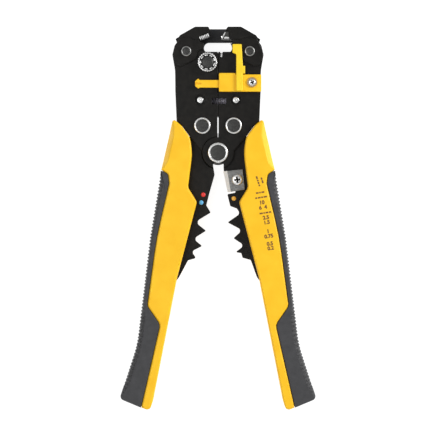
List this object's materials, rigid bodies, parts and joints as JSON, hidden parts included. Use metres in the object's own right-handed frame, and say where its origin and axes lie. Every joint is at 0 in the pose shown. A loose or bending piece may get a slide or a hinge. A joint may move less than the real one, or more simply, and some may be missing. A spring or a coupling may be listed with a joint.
{
  "type": "wire stripper",
  "caption": "Plier-type automatic wire stripper: padded levers close a gripping jaw and a blade jaw and spread the head; with wire cutter, crimping teeth and a sliding wire stop.",
  "frame": {"origin": "centre of the underside of the tool's bounding box, lying on its back", "axes": "+Z out of the tool's front, +Y along its length towards the jaws, +X to its right"},
  "size_m": [0.1042, 0.205, 0.019],
  "materials": {
    "black_steel": "semi-gloss black oxide",
    "bright_steel": "polished nickel plate",
    "grey_steel": "ground steel",
    "yellow_plastic": "satin moulded plastic",
    "dark_plastic": "fine matte texture",
    "grey_grip": "soft matte",
    "spring_steel": "drawn wire",
    "brass": "plated",
    "red_paint": "paint",
    "blue_paint": "paint",
    "yellow_paint": "paint"
  },
  "bodies": {
    "pivot": {"pivot_bolt": "bright_steel", "pivot_nut": "grey_steel", "pivot_washer": "bright_steel"},
    "left_lever": {"left_lever": "black_steel", "left_handle_sleeve": "yellow_plastic", "left_grip": "grey_grip", "left_drive_pin": "bright_steel", "red_size_dot": "red_paint", "blue_size_dot": "blue_paint"},
    "right_lever": {"right_lever": "black_steel", "right_handle_sleeve": "yellow_plastic", "right_grip": "grey_grip", "right_drive_pin": "bright_steel", "yellow_size_dot": "yellow_paint", "cutter_blade": "grey_steel", "cutter_screw": "bright_steel"},
    "left_frame": {"left_front_plate": "black_steel", "left_back_plate": "black_steel", "left_back_cover": "dark_plastic", "left_stop_rivet": "bright_steel", "left_jaw_rivet": "bright_steel", "left_spring_post": "bright_steel", "left_jaw_spring": "spring_steel", "lower_grip_pad": "grey_steel", "cover_screw_top": "bright_steel", "cover_screw_left": "bright_steel", "tension_spring": "spring_steel"},
    "right_frame": {"right_front_plate": "black_steel", "right_back_plate": "black_steel", "right_back_cover": "dark_plastic", "right_stop_rivet": "bright_steel", "right_jaw_rivet": "bright_steel", "right_spring_post": "bright_steel", "right_jaw_spring": "spring_steel", "lower_stripping_blades": "bright_steel", "cover_screw_right": "bright_steel"},
    "left_jaw": {"left_upper_jaw": "black_steel", "upper_grip_pad": "grey_steel"},
    "right_jaw": {"right_upper_jaw": "black_steel", "upper_stripping_blades": "bright_steel"},
    "stop": {"wire_stop": "yellow_plastic", "stop_screw": "brass"},
    "adjuster": {"adjuster_dial": "bright_steel", "adjuster_cap": "black_steel"}
  },
  "joints": [
    {"name": "left_squeeze", "type": "hinge", "parent": "pivot", "child": "left_lever", "pos_m": [0, 0.035, 0.0095], "axis": [0, 0, 1], "range_deg": [0, 12], "stiffness_Nm_per_rad": 3, "springref_deg": -8.59},
    {"name": "right_squeeze", "type": "hinge", "parent": "pivot", "child": "right_lever", "pos_m": [0, 0.035, 0.0095], "axis": [0, 0, 1], "range_deg": [-12, 0]},
    {"name": "left_frame_spread", "type": "hinge", "parent": "pivot", "child": "left_frame", "pos_m": [0, 0.035, 0.0095], "axis": [0, 0, 1], "range_deg": [0, 8]},
    {"name": "right_frame_spread", "type": "hinge", "parent": "left_frame", "child": "right_frame", "pos_m": [0, 0.035, 0.0095], "axis": [0, 0, 1], "range_deg": [-16, 0], "deforming": ["tension_spring"]},
    {"name": "left_jaw_close", "type": "hinge", "parent": "left_frame", "child": "left_jaw", "pos_m": [-0.017, 0.0893, 0.0095], "axis": [0, 0, 1], "range_deg": [-24, 0]},
    {"name": "right_jaw_close", "type": "hinge", "parent": "right_frame", "child": "right_jaw", "pos_m": [0.017, 0.0893, 0.0095], "axis": [0, 0, 1], "range_deg": [0, 24]},
    {"name": "stop_slide", "type": "slide", "parent": "right_frame", "child": "stop", "axis": [1, 0, 0], "range_m": [-0.0045, 0.0012]},
    {"name": "adjuster_turn", "type": "hinge", "parent": "left_frame", "child": "adjuster", "pos_m": [-0.0056, 0.0834, 0.015], "axis": [0, 0, 1], "range_deg": [-160, 160]}
  ],
  "couplings": [
    {"joint": "right_squeeze", "follows": "left_squeeze", "ratio": -1},
    {"joint": "left_frame_spread", "follows": "left_squeeze", "ratio": 0.66667},
    {"joint": "right_frame_spread", "follows": "left_squeeze", "ratio": -1.3333},
    {"joint": "left_jaw_close", "follows": "left_squeeze", "ratio": -2},
    {"joint": "right_jaw_close", "follows": "left_squeeze", "ratio": 2}
  ]
}
